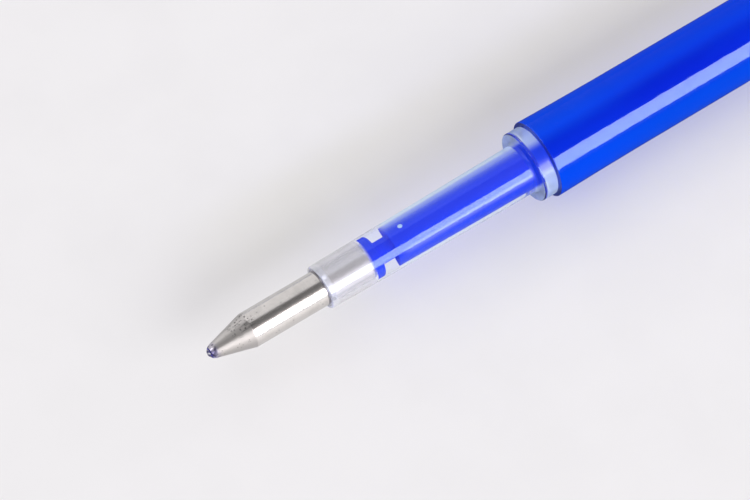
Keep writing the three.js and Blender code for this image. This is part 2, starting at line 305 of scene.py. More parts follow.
class Recipe:
    """The node tree of one finish, filled node by node."""

    def __init__(self, tree: bpy.types.NodeTree) -> None:
        """Empties a material's or the world's node tree."""
        tree.nodes.clear()
        self.tree = tree

    def add(self, kind: str, settings: Mapping[str, object] | None = None,
            inputs: Mapping[str | int, Feed] | None = None, out: str | int = 0) -> Signal:
        """Adds any node.

        Args:
            kind: Blender's type name of the node.
            settings: Attributes of the node, set first.
            inputs: Values or signals for its sockets, by name or index.
            out: The output that the signal stands for.

        Returns:
            The node's output as a signal.
        """
        node = self.tree.nodes.new(kind)
        for name, value in (settings or {}).items():
            setattr(node, name, value)
        for name, value in (inputs or {}).items():
            if isinstance(value, Signal):
                self.tree.links.new(value.socket, node.inputs[name])
            else:
                node.inputs[name].default_value = value
        return Signal(self, node, out)

    def spot(self, lathe: Lathe, stretch: Sequence[float] = (1, 1, 1)) -> Signal:
        """Object coordinates in millimetres: X is the station, Y and Z run from the axis.

        Args:
            lathe: The axis.
            stretch: Scale of the pattern along each axis.

        Returns:
            The coordinates as a vector.
        """
        spread = [s / MM for s in stretch]
        origin = (-lathe.front * spread[0], 0, -lathe.height * spread[2])
        coordinates = self.add("ShaderNodeTexCoord", out="Object")
        return self.add("ShaderNodeMapping", None,
                        {"Vector": coordinates, "Location": origin, "Scale": spread})

    def axis(self, spot: Signal, name: str = "X") -> Signal:
        """One coordinate of a spot; X is its station."""
        return self.add("ShaderNodeSeparateXYZ", None, {0: spot}, out=name)

    def across(self, spot: Signal) -> Signal:
        """Millimetres to the +Y side of a plane through the axis, which leans from straight up to -Y.

        Args:
            spot: Coordinates from the axis.

        Returns:
            The signed distance.
        """
        place, lean = self.axis(spot, "Y"), math.radians(SIDE_LEAN)
        return math.cos(lean) * place + math.sin(lean) * place.part("Z")

    def noise(self, where: Signal, scale: float, detail: float = 2.0) -> Signal:
        """Cloudy noise about 0.5, with scale lumps to a unit and detail octaves on top."""
        return self.add("ShaderNodeTexNoise", {"noise_dimensions": "3D"},
                        {"Vector": where, "Scale": scale, "Detail": detail})

    def streaks(self, lathe: Lathe, stretch: Sequence[float], detail: float = 2.0) -> Signal:
        """Cloudy noise with its own number of lumps to a millimetre along each axis."""
        return self.noise(self.spot(lathe, stretch), 1.0, detail)

    def grains(self, where: Signal, scale: float) -> Signal:
        """Distance to the nearest of scattered points, for pits, specks and bubbles."""
        return self.add("ShaderNodeTexVoronoi", {"feature": "F1"}, {"Vector": where, "Scale": scale})

    def rise(self, signal: Signal, low: float, high: float) -> Signal:
        """A smooth step from 0 to 1.

        Args:
            signal: The value that is read.
            low: Where the step is 0.
            high: Where the step is 1; below low, the step falls.

        Returns:
            The step, from 0 to 1.
        """
        ends = {"From Min": low, "From Max": high}
        if low > high:
            ends = {"From Min": high, "From Max": low, "To Min": 1.0, "To Max": 0.0}
        return self.add("ShaderNodeMapRange", {"interpolation_type": "SMOOTHSTEP"},
                        {"Value": signal, **ends})

    def band(self, signal: Signal, rising: Span, falling: Span) -> Signal:
        """A smooth step up, times a smooth step down again."""
        return self.rise(signal, *rising) * self.rise(signal, *falling)

    def blend(self, share: Feed, below: Feed, above: Feed) -> Signal:
        """Two colours mixed.

        Args:
            share: Share of the second colour.
            below: First colour.
            above: Second colour.

        Returns:
            The mixed colour.
        """
        colours = [c if isinstance(c, Signal) else (*c, 1.0) for c in (below, above)]
        return self.add("ShaderNodeMix", {"data_type": "RGBA"},
                        {0: share, 6: colours[0], 7: colours[1]}, out=2)

    def layer(self, share: Feed, below: Signal, above: Signal) -> Signal:
        """Two shaders mixed, with this share of the second."""
        return self.add("ShaderNodeMixShader", None, {0: share, 1: below, 2: above})

    def bump(self, height: Signal, depth: float, strength: float) -> Signal:
        """A normal that follows a height, with depth in millimetres from 0 to 1."""
        return self.add("ShaderNodeBump", None,
                        {"Height": height, "Distance": depth * MM, "Strength": strength})

    def surface(self, inputs: Mapping[str, Feed]) -> Signal:
        """A Principled shader with these sockets set."""
        return self.add("ShaderNodeBsdfPrincipled", None, inputs)

    def lamp_lit(self, shader: Signal, tint: Colour) -> Signal:
        """Lets the light that dull surfaces get go straight through a clear shader.

        Args:
            shader: The clear shader.
            tint: Colour that the light takes on.

        Returns:
            The shader that the eye sees, with clear shadows.
        """
        clear = self.add("ShaderNodeBsdfTransparent", None, {"Color": (*tint, 1.0)})
        for ray in ("Is Diffuse Ray", "Is Shadow Ray"):
            shader = self.layer(self.add("ShaderNodeLightPath", out=ray), shader, clear)
        return shader


@dataclass(frozen=True)
class Finish:
    """A finish, which makes one material."""

    name: str
    lathe: Lathe

    def shade(self, recipe: Recipe) -> Signal:
        """Fills the recipe and returns the finish's shader."""
        raise NotImplementedError

    def material(self) -> bpy.types.Material:
        """Makes the material.

        Returns:
            The new material.
        """
        made = bpy.data.materials.new(self.name)
        made.use_nodes = True
        recipe = Recipe(made.node_tree)
        recipe.add("ShaderNodeOutputMaterial", None, {"Surface": self.shade(recipe)})
        return made


@dataclass(frozen=True)
class TurnedMetal(Finish):
    """Turned nickel silver with tool marks, pits round the shoulder and ink by the ball."""

    colour: Colour = (0.86, 0.825, 0.80)
    shade_colour: Colour = (0.75, 0.72, 0.695)
    cone_colour: Colour = (0.58, 0.555, 0.54)
    # Dark colour for the pits and for the painted shade in front of the collar.
    pit_and_shade_colour: Colour = (0.10, 0.095, 0.095)
    film_colour: Colour = (0.26, 0.22, 0.60)
    ink_colour: Colour = (0.012, 0.010, 0.055)
    pits: Window = ((1.3, 2.2), (3.6, 2.9))
    pitted_side: Span = (-0.4, 0.1)
    cone: Span = (2.95, 2.86)
    # Painted shade: a dark band on the shank just in front of the collar, where the two parts meet.
    collar_contact_shade: Window = ((7.97, 8.04), (8.2, 8.13))
    inked: Span = (1.1, 0.5)
    inked_side: Span = (0.22, -0.08)
    ink_wander: float = 0.6
    mark_stretch: Triple = (26.0, 0.5, 0.5)
    score_stretch: Triple = (0.5, 5.0, 5.0)
    score_cut: Span = (0.5, 0.68)
    cloud_scale: float = 1.3
    cloud_cut: Span = (0.42, 0.7)
    cluster_scale: float = 1.8
    cluster_cut: Span = (0.44, 0.58)
    pit_scale: float = 4.6
    pit_cut: Span = (0.36, 0.2)
    speck_scale: float = 4.0
    speck_cut: Span = (0.2, 0.1)
    patch_scale: float = 1.6
    patch_cut: Span = (0.5, 0.6)
    wander_scale: float = 2.6
    blot_scale: float = 4.0
    blot_cut: Span = (0.46, 0.54)
    relief_depth: float = 0.004
    relief_strength: float = 0.36

    def shade(self, recipe: Recipe) -> Signal:
        """Lays tool marks, pits, a painted contact shadow in front of the collar, and ink over the
        metal.

        Args:
            recipe: The material's empty recipe.

        Returns:
            The metal's shader.
        """
        spot = recipe.spot(self.lathe)
        station = recipe.axis(spot)
        across = recipe.across(spot)
        marks = recipe.streaks(self.lathe, self.mark_stretch, 3)
        clouds = recipe.noise(spot, self.cloud_scale, 3)
        streaks = recipe.streaks(self.lathe, self.score_stretch)
        zone = recipe.band(station, *self.pits) * recipe.rise(across, *self.pitted_side)
        cluster = recipe.rise(recipe.noise(spot, self.cluster_scale, 1), *self.cluster_cut)
        pits = recipe.rise(recipe.grains(spot, self.pit_scale), *self.pit_cut) * zone * cluster
        scores = recipe.rise(streaks, *self.score_cut) * zone
        specks = recipe.rise(recipe.grains(spot, self.speck_scale), *self.speck_cut) \
            * recipe.rise(recipe.noise(spot, self.patch_scale, 2), *self.patch_cut)
        wander = self.ink_wander * recipe.noise(spot, self.wander_scale, 2)
        inky = recipe.rise(station + wander, *self.inked)
        blots = recipe.rise(recipe.noise(spot, self.blot_scale, 1), *self.blot_cut) * inky
        cone = recipe.rise(station, *self.cone)
        # Painted shade: a dark line on the shank just in front of the collar, where the two parts meet.
        collar_contact_shade = recipe.band(station, *self.collar_contact_shade)
        worn = recipe.blend(0.55 * recipe.rise(clouds, *self.cloud_cut), self.colour, self.shade_colour)
        dulled = recipe.blend(0.85 * cone, worn, self.cone_colour)
        # Pits, scores and specks are real marks; the line in front of the collar is painted shade.
        dirt_and_shade = 0.8 * pits + 0.5 * scores + 0.6 * specks + 0.6 * collar_contact_shade
        pitted_and_shaded = recipe.blend(dirt_and_shade, dulled, self.pit_and_shade_colour)
        below = recipe.rise(across, *self.inked_side)
        stained = recipe.blend((0.25 + 0.5 * below) * inky, pitted_and_shaded, self.film_colour)
        relief = 0.6 * marks + 0.25 * streaks - 0.9 * pits - 0.5 * specks
        return recipe.surface({
            "Base Color": recipe.blend(0.95 * blots, stained, self.ink_colour),
            "Metallic": 1 - 0.5 * blots,
            "Roughness": 0.14 + 0.10 * marks + 0.07 * clouds + 0.2 * pits + 0.08 * cone,
            "Normal": recipe.bump(relief, self.relief_depth, self.relief_strength),
        })


@dataclass(frozen=True)
class InkyCarbide(Finish):
    """A polished ball with a broken film of ink."""

    colour: Colour = (0.78, 0.77, 0.84)
    film_colour: Colour = (0.02, 0.014, 0.13)
    film_scale: float = 4.5
    film_cut: Span = (0.47, 0.53)
    grain_scale: float = 42.0
    relief_depth: float = 0.002
    relief_strength: float = 0.4

    def shade(self, recipe: Recipe) -> Signal:
        """Lays the broken film over the polished ball.

        Args:
            recipe: The material's empty recipe.

        Returns:
            The ball's shader.
        """
        spot = recipe.spot(self.lathe)
        film = recipe.rise(recipe.noise(spot, self.film_scale, 1), *self.film_cut)
        grain = recipe.noise(spot, self.grain_scale)
        return recipe.surface({
            "Base Color": recipe.blend(0.92 * film, self.colour, self.film_colour),
            "Metallic": 1 - 0.7 * film,
            "Roughness": 0.06 + 0.06 * grain + 0.05 * film,
            "Normal": recipe.bump(grain, self.relief_depth, self.relief_strength),
        })


@dataclass(frozen=True)
class DrawnWire(Finish):
    """Fine drawn stainless wire."""

    colour: Colour = (0.66, 0.66, 0.68)
    dull_colour: Colour = (0.48, 0.48, 0.50)
    line_scale: float = 24.0
    cloud_scale: float = 3.0
    cloud_cut: Span = (0.4, 0.65)
    relief_depth: float = 0.002
    relief_strength: float = 0.4

    def shade(self, recipe: Recipe) -> Signal:
        """Draws faint lines and dull clouds on the wire.

        Args:
            recipe: The material's empty recipe.

        Returns:
            The wire's shader.
        """
        spot = recipe.spot(self.lathe)
        lines = recipe.noise(spot, self.line_scale)
        dull = recipe.rise(recipe.noise(spot, self.cloud_scale), *self.cloud_cut)
        return recipe.surface({
            "Base Color": recipe.blend(dull, self.colour, self.dull_colour),
            "Metallic": 1.0,
            "Roughness": 0.22 + 0.16 * lines,
            "Normal": recipe.bump(lines, self.relief_depth, self.relief_strength),
        })


@dataclass(frozen=True)
class ClearMoulding(Finish):
    """Clear moulded plastic with a slight haze and faint flow marks."""

    colour: Colour = (0.87, 0.90, 1.0)
    flow_colour: Colour = (0.81, 0.86, 1.0)
    glare_tint: Colour = (0.62, 0.85, 1.0)
    milk_colour: Colour = (0.64, 0.80, 1.0)
    inked_colour: Colour = (0.0, 0.04, 0.80)
    mouth_colour: Colour = (0.86, 0.85, 0.87)
    clearness: float = 0.97
    refraction: float = 1.49
    mouth: Span = (8.65, 8.4)
    collar_rear: Span = (11.45, 11.25)
    neck: Span = (12.6, 13.4)
    flange: Window = ((22.84, 22.88), (24.15, 24.11))
    flange_face: Window = ((22.84, 22.86), (23.135, 23.105))
    flange_edge: Window = ((23.105, 23.12), (23.3, 23.22))
    upper_side: Span = (0.0, 0.6)
    lower_side: Span = (0.0, -0.6)
    shell_side: Span = (-0.3, -0.9)
    rim_outward: Span = (0.3, 1.6)
    face_outward: Span = (1.7, 2.6)
    shell_outward: Span = (0.9, 1.7)
    haze_graze: Span = (0.08, 0.5)
    edge_graze: Span = (0.4, 0.65)
    lower_graze: Span = (0.35, 0.8)
    flow_stretch: Triple = (0.35, 1.4, 1.4)
    flow_cut: Span = (0.35, 0.7)
    dimple_scale: float = 2.4
    relief_depth: float = 0.006
    relief_strength: float = 0.35

    def shade(self, recipe: Recipe) -> Signal:
        """Mixes the clear plastic with a milky one at the flange, the mouth and the edges.

        Args:
            recipe: The material's empty recipe.

        Returns:
            The moulding's shader, clear to the light of dull surfaces.
        """
        spot = recipe.spot(self.lathe)
        flow = recipe.streaks(self.lathe, self.flow_stretch)
        dimples = recipe.noise(spot, self.dimple_scale)
        relief = 0.7 * flow + 0.3 * dimples
        flowed = recipe.rise(flow, *self.flow_cut)
        clear = recipe.surface({
            "Base Color": recipe.blend(flowed, self.colour, self.flow_colour),
            "Roughness": 0.02 + 0.05 * dimples,
            "IOR": self.refraction,
            "Specular Tint": (*self.glare_tint, 1.0),
            "Transmission Weight": self.clearness,
            "Normal": recipe.bump(relief, self.relief_depth, self.relief_strength),
        })
        station = recipe.axis(spot)
        across = recipe.across(spot)
        outward = across * across
        flange, face, edge = (recipe.band(station, *window)
                              for window in (self.flange, self.flange_face, self.flange_edge))
        pale = recipe.rise(outward, *self.rim_outward) * (1 - face) \
            + recipe.rise(outward, *self.face_outward) * face
        rim = (0.85 + (0.3 * flow - 0.47) * pale) * flange * (1 - edge)
        mouth, neck = recipe.rise(station, *self.mouth), recipe.rise(station, *self.neck)
        graze = recipe.add("ShaderNodeLayerWeight", None, {"Blend": 0.5}, out="Facing")
        haze = 0.5 * recipe.rise(graze, *self.haze_graze) + 0.35 * recipe.rise(graze, *self.edge_graze)
        upper = haze * recipe.rise(across, *self.upper_side)
        lower = 0.25 * recipe.rise(graze, *self.lower_graze) * recipe.rise(across, *self.lower_side)
        edges = neck * (upper + lower)
        outer, under = recipe.rise(outward, *self.shell_outward), recipe.rise(across, *self.shell_side)
        shell = recipe.rise(station, *self.collar_rear) * (0.22 + 0.3 * outer - 0.16 * under)
        behind = recipe.blend(pale, self.inked_colour, self.milk_colour)
        milky = recipe.surface({
            "Base Color": recipe.blend(neck, self.mouth_colour, behind),
            "Roughness": 0.25 + 0.1 * dimples,
            "IOR": self.refraction,
        })
        milk = rim + 0.1 * mouth + edges * (1 - flange) + shell
        return recipe.lamp_lit(recipe.layer(milk, clear, milky), self.colour)


@dataclass(frozen=True)
class ExtrudedTube(Finish):
    """Clear extruded plastic with faint die lines, and ripples where it is stretched."""

    colour: Colour = (0.965, 0.98, 1.0)
    line_colour: Colour = (0.93, 0.96, 1.0)
    glare_tint: Colour = (0.62, 0.85, 1.0)
    end_colour: Colour = (0.01, 0.018, 0.20)
    film_colour: Colour = (0.02, 0.045, 0.42)
    refraction: float = 1.5
    stretched: Span = (29.5, 24.55)
    cut_end: Span = (24.18, 24.16)
    line_stretch: Triple = (0.05, 3.2, 3.2)
    line_cut: Span = (0.4, 0.7)
    ripple_stretch: Triple = (3.4, 0.5, 0.5)
    scuff_stretch: Triple = (1.2, 6.0, 6.0)
    scuff_cut: Span = (0.62, 0.72)
    relief_depth: float = 0.006
    relief_strength: float = 0.4

    def shade(self, recipe: Recipe) -> Signal:
        """Mixes the clear tube with the ink on its cut end.

        Args:
            recipe: The material's empty recipe.

        Returns:
            The tube's shader, clear to the light of dull surfaces.
        """
        spot = recipe.spot(self.lathe)
        station = recipe.axis(spot)
        lines = recipe.streaks(self.lathe, self.line_stretch)
        ripples = recipe.streaks(self.lathe, self.ripple_stretch)
        stretched = recipe.rise(station, *self.stretched)
        scuffs = recipe.rise(recipe.streaks(self.lathe, self.scuff_stretch), *self.scuff_cut)
        relief = 0.35 * lines + 0.9 * ripples * stretched + 0.3 * scuffs
        lined = recipe.rise(lines, *self.line_cut)
        clear = recipe.surface({
            "Base Color": recipe.blend(lined, self.colour, self.line_colour),
            "Roughness": 0.03 + 0.04 * lines + 0.12 * scuffs,
            "IOR": self.refraction,
            "Specular Tint": (*self.glare_tint, 1.0),
            "Transmission Weight": 1.0,
            "Normal": recipe.bump(relief, self.relief_depth, self.relief_strength),
        })
        inked = recipe.surface({
            "Base Color": recipe.blend(lines, self.end_colour, self.film_colour),
            "Roughness": 0.4 + 0.1 * lines,
        })
        cut = 0.7 * recipe.rise(station, *self.cut_end)
        return recipe.lamp_lit(recipe.layer(cut, clear, inked), self.colour)


@dataclass(frozen=True)
class GelInk(Finish):
    """Opaque blue gel ink, a little uneven, paler where it is drawn thin, with painted light on its
    upper and lower sides and a painted caustic on the neck's lower flank.
    """

    colour: Colour = (0.0, 0.0175, 0.70)
    light_colour: Colour = (0.0, 0.025, 0.75)
    neck_colour: Colour = (0.0, 0.034, 0.90)
    mouth_colour: Colour = (0.0, 0.068, 0.90)
    # Painted light: the ink's upper and lower sides are lighter, as where light falls on them.
    painted_upper_light_colour: Colour = (0.0, 0.058, 0.89)
    painted_lower_light_colour: Colour = (0.0, 0.064, 0.75)
    # Painted light: a pale band of focused light on the lower flank of the ink in the neck.
    painted_caustic_colour: Colour = (0.185, 0.235, 0.84)
    upper_side: Span = (0.3, 1.6)
    lower_side: Span = (-0.3, -1.6)
    painted_caustic: Window = ((-0.42, -0.55), (-0.82, -0.57))
    painted_caustic_front: Span = (13.2, 14.2)
    neck_rear: Span = (23.9, 23.4)
    mouth_front: Span = (23.7, 23.9)
    mouth_rear: Span = (33.5, 27.5)
    mouth_wander: float = 2.0
    drift_stretch: Triple = (0.16, 0.6, 0.6)
    drift_cut: Span = (0.35, 0.7)
    mote_scale: float = 2.2
    mote_cut: Span = (0.13, 0.05)

    def shade(self, recipe: Recipe) -> Signal:
        """Mixes the ink's tones along the refill, with painted light round its sides and a painted
        caustic on the neck's lower flank.

        Args:
            recipe: The material's empty recipe.

        Returns:
            The ink's shader.
        """
        spot = recipe.spot(self.lathe)
        station = recipe.axis(spot)
        across = recipe.across(spot)
        # Masks for the painted light on the upper and lower sides.
        upper, lower = recipe.rise(across, *self.upper_side), recipe.rise(across, *self.lower_side)
        drift = recipe.streaks(self.lathe, self.drift_stretch, 3)
        motes = recipe.rise(recipe.grains(spot, self.mote_scale), *self.mote_cut)
        share = recipe.rise(drift, *self.drift_cut) + 0.35 * motes
        mouth = recipe.rise(station, *self.mouth_front) \
            * recipe.rise(station + self.mouth_wander * drift, *self.mouth_rear)
        thick = recipe.blend(share, self.colour, self.light_colour)
        neck = recipe.rise(station, *self.neck_rear)
        middle = recipe.blend(neck, thick, self.neck_colour)
        # Painted caustic: light focused by the neck's clear wall onto the ink's lower flank.
        painted_caustic = neck * recipe.rise(station, *self.painted_caustic_front) * recipe.band(across, *self.painted_caustic)
        # Painted light: a lighter upper side, then a lighter lower side.
        painted_upper_lit = recipe.blend(0.9 * upper, middle, self.painted_upper_light_colour)
        lit = recipe.blend(painted_caustic, recipe.blend(lower, painted_upper_lit, self.painted_lower_light_colour), self.painted_caustic_colour)
        thinned = (0.12 + 0.7 * upper + 0.4 * lower) * mouth
        return recipe.surface({
            "Base Color": recipe.blend(thinned, lit, self.mouth_colour),
            "Roughness": 0.45 + 0.2 * drift,
            "Specular IOR Level": 0.0,
        })


@dataclass(frozen=True)
class WetInk(Finish):
    """Ink that stands in the open round the ball, glossy and nearly black."""

    colour: Colour = (0.012, 0.010, 0.10)
    thin_colour: Colour = (0.05, 0.04, 0.40)
    thin_scale: float = 6.0
    thin_cut: Span = (0.4, 0.65)

    def shade(self, recipe: Recipe) -> Signal:
        """Mixes thick and thin ink.

        Args:
            recipe: The material's empty recipe.

        Returns:
            The wet ink's shader.
        """
        spot = recipe.spot(self.lathe)
        thin = recipe.rise(recipe.noise(spot, self.thin_scale), *self.thin_cut)
        return recipe.surface({
            "Base Color": recipe.blend(thin, self.colour, self.thin_colour),
            "Roughness": 0.12 + 0.1 * thin,
        })


@dataclass(frozen=True)
class AirBubble(Finish):
    """A small bubble in the ink, its silvery look a painted reflection on a dull surface."""

    # Painted reflection: pale colours on a dull surface stand in for the bubble's silvery sheen.
    colour: Colour = (0.72, 0.93, 1.0)
    rim_colour: Colour = (0.40, 0.65, 1.0)
    shift_scale: float = 9.0
    rim_cut: Span = (0.45, 0.7)

    def shade(self, recipe: Recipe) -> Signal:
        """Mixes the bubble's middle and rim tones.

        Args:
            recipe: The material's empty recipe.

        Returns:
            The bubble's shader.
        """
        shift = recipe.noise(recipe.spot(self.lathe), self.shift_scale, 1)
        rim = recipe.rise(shift, *self.rim_cut)
        return recipe.surface({
            "Base Color": recipe.blend(rim, self.colour, self.rim_colour),
            "Roughness": 0.3 + 0.2 * shift,
            "Specular IOR Level": 0.0,
        })


@dataclass(frozen=True)
class FollowerJelly(Finish):
    """Clear honey-coloured grease with a few fine bubbles."""

    colour: Colour = (0.76, 0.70, 0.50)
    bubble_colour: Colour = (0.86, 0.85, 0.80)
    cloud_scale: float = 0.8
    bubble_scale: float = 1.9
    bubble_cut: Span = (0.2, 0.1)

    def shade(self, recipe: Recipe) -> Signal:
        """Scatters fine bubbles through the grease.

        Args:
            recipe: The material's empty recipe.

        Returns:
            The grease's shader.
        """
        spot = recipe.spot(self.lathe)
        clouds = recipe.noise(spot, self.cloud_scale)
        bubbles = recipe.rise(recipe.grains(spot, self.bubble_scale), *self.bubble_cut)
        return recipe.surface({
            "Base Color": recipe.blend(bubbles, self.colour, self.bubble_colour),
            "Roughness": 0.18 + 0.1 * clouds,
            "Alpha": 0.42 + 0.18 * clouds + 0.3 * bubbles,
        })


@dataclass(frozen=True)
class MilkyPlastic(Finish):
    """Natural moulded plastic, milky, with a fine satin skin."""

    colour: Colour = (0.71, 0.705, 0.675)
    deep_colour: Colour = (0.63, 0.635, 0.62)
    milkiness: float = 0.25
    light_reach: float = 0.4
    cloud_scale: float = 0.9
    cloud_cut: Span = (0.35, 0.68)
    skin_scale: float = 14.0
    relief_depth: float = 0.006
    relief_strength: float = 0.35

    def shade(self, recipe: Recipe) -> Signal:
        """Clouds the plastic and roughens its skin.

        Args:
            recipe: The material's empty recipe.

        Returns:
            The plastic's shader.
        """
        spot = recipe.spot(self.lathe)
        deep = recipe.rise(recipe.noise(spot, self.cloud_scale, 3), *self.cloud_cut)
        skin = recipe.noise(spot, self.skin_scale, 3)
        return recipe.surface({
            "Base Color": recipe.blend(deep, self.colour, self.deep_colour),
            "Roughness": 0.30 + 0.14 * skin,
            "Subsurface Weight": self.milkiness,
            "Subsurface Scale": self.light_reach * MM,
            "Normal": recipe.bump(skin, self.relief_depth, self.relief_strength),
        })


@dataclass(frozen=True)
class PaleTable(Finish):
    """A white sheet with a hardly visible mottle, with its tones set for the eye, painted light near
    the tip, painted shadows beside the tube and painted shade in its reflections.
    """

    colour: Colour = (0.91, 0.895, 0.91)
    mottle_colour: Colour = (0.885, 0.87, 0.885)
    seen_colour: Colour = (0.82, 0.805, 0.82)
    # Painted reflection: tones of the table as shiny things mirror it, darker near the refill and in
    # its shadow.
    mirrored_near_shade_colour: Colour = (0.65, 0.64, 0.65)
    far_colour: Colour = (0.965, 0.945, 0.945)
    shadow_colour: Colour = (0.60, 0.60, 0.61)
    tube_shadow: Colour = (0.03, 0.06, 0.20)
    refracted_colour: Colour = (0.85, 0.845, 0.87)
    # Painted light: the table round the tip is lifted, which lightens the shade there.
    painted_light_colour: Colour = (0.85, 0.835, 0.85)
    # Painted shadow: a darker, warmer band on the table beside the tube, on its +Y side.
    painted_shadow_colour: Colour = (0.66, 0.635, 0.52)
    # Painted shade: a darker tone on the table close beside the tube, on its -Y side.
    painted_near_shade_colour: Colour = (0.66, 0.67, 0.71)
    lit_side: Span = (-1.0, -14.0)
    shadow_side: Span = (-0.5, 2.0)
    tube_stations: Span = (14.0, 26.0)
    painted_light_stations: Span = (16.0, 6.0)
    painted_light_sides: Window = ((-3.5, -0.5), (6.5, 2.5))
    painted_shadow_stations: Window = ((0.0, 12.0), (88.0, 58.0))
    painted_shadow_sides: Window = ((3.4, 6.0), (11.0, 7.5))
    painted_near_shade_stations: Window = ((12.0, 22.0), (88.0, 58.0))
    painted_near_shade_sides: Window = ((-7.5, -4.0), (1.0, -0.5))
    seen_lift: float = 0.28
    painted_light_lift: float = 0.29
    mirrored_lift: float = 0.95
    refracted_lift: float = 0.85
    mottle_scale: float = 0.16
    mottle_cut: Span = (0.35, 0.7)

    def shade(self, recipe: Recipe) -> Signal:
        """Lights the sheet, and sets its tone apart for direct, mirrored and refracted views, with
        painted light and shadows in the direct view and painted shade in the mirrored one.

        Args:
            recipe: The material's empty recipe.

        Returns:
            The table's shader.
        """
        spot = recipe.spot(self.lathe)
        mottle = recipe.rise(recipe.noise(spot, self.mottle_scale, 4), *self.mottle_cut)
        paper = recipe.surface({
            "Base Color": recipe.blend(mottle, self.colour, self.mottle_colour),
            "Roughness": 0.8,
            "Specular IOR Level": 0.0,
        })
        path = recipe.add("ShaderNodeLightPath")
        seen, refracted = path.part("Is Camera Ray"), path.part("Is Transmission Ray")
        mirrored = path.part("Is Glossy Ray") * (1 - refracted)
        along, aside = recipe.axis(spot), recipe.axis(spot, "Y")
        # Painted reflection: the mirrored table is darker near the refill, in its shadow and beside the
        # tube.
        lit = recipe.blend(recipe.rise(aside, *self.lit_side), self.mirrored_near_shade_colour, self.far_colour)
        beside = recipe.blend(recipe.rise(aside, *self.shadow_side), lit, self.shadow_colour)
        reflection = recipe.blend(recipe.rise(along, *self.tube_stations), beside, self.tube_shadow)
        # Painted light: a lighter patch of table round the tip.
        painted_light_near_tip = recipe.rise(along, *self.painted_light_stations) * recipe.band(aside, *self.painted_light_sides)
        # Painted shadow: a darker band on the table beside the tube, on its +Y side.
        behind = recipe.band(along, *self.painted_shadow_stations) * recipe.band(aside, *self.painted_shadow_sides)
        # Painted shade: a darker band on the table close beside the tube, on its -Y side.
        painted_near_shade = recipe.band(along, *self.painted_near_shade_stations) * recipe.band(aside, *self.painted_near_shade_sides)
        tone = recipe.blend(painted_light_near_tip, self.seen_colour, self.painted_light_colour)
        tone = recipe.blend(behind, tone, self.painted_shadow_colour)
        tone = recipe.blend(painted_near_shade, tone, self.painted_near_shade_colour)
        direct = recipe.blend(mirrored, tone, reflection)
        glow = recipe.surface({
            "Base Color": BLACK,
            "Specular IOR Level": 0.0,
            "Emission Color": recipe.blend(refracted, direct, self.refracted_colour),
            "Emission Strength": 1.0,
        })
        lift = (self.seen_lift + self.painted_light_lift * painted_light_near_tip) * seen + self.mirrored_lift * mirrored \
            + self.refracted_lift * refracted
        return recipe.layer(lift, paper, glow)


@dataclass
class SubAssembly:
    """Pieces that belong together, with the axis that they are turned about."""

    lathe: Lathe

    def dress(self, piece: bpy.types.Object, finish: Finish, body: Body, slot: Slot,
              *nodes: str) -> bpy.types.Object:
        """Gives a piece its finish and its body, and hides the CAD nodes that it stands for.

        Args:
            piece: The new piece, in place.
            finish: Its finish.
            body: The CAD body that it rides on.
            slot: Not used.
            *nodes: CAD nodes that it replaces.

        Returns:
            The same piece.
        """
        piece.data.materials.append(finish.material())
        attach(piece, body.value)
        if nodes:
            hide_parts(*nodes)
        return piece


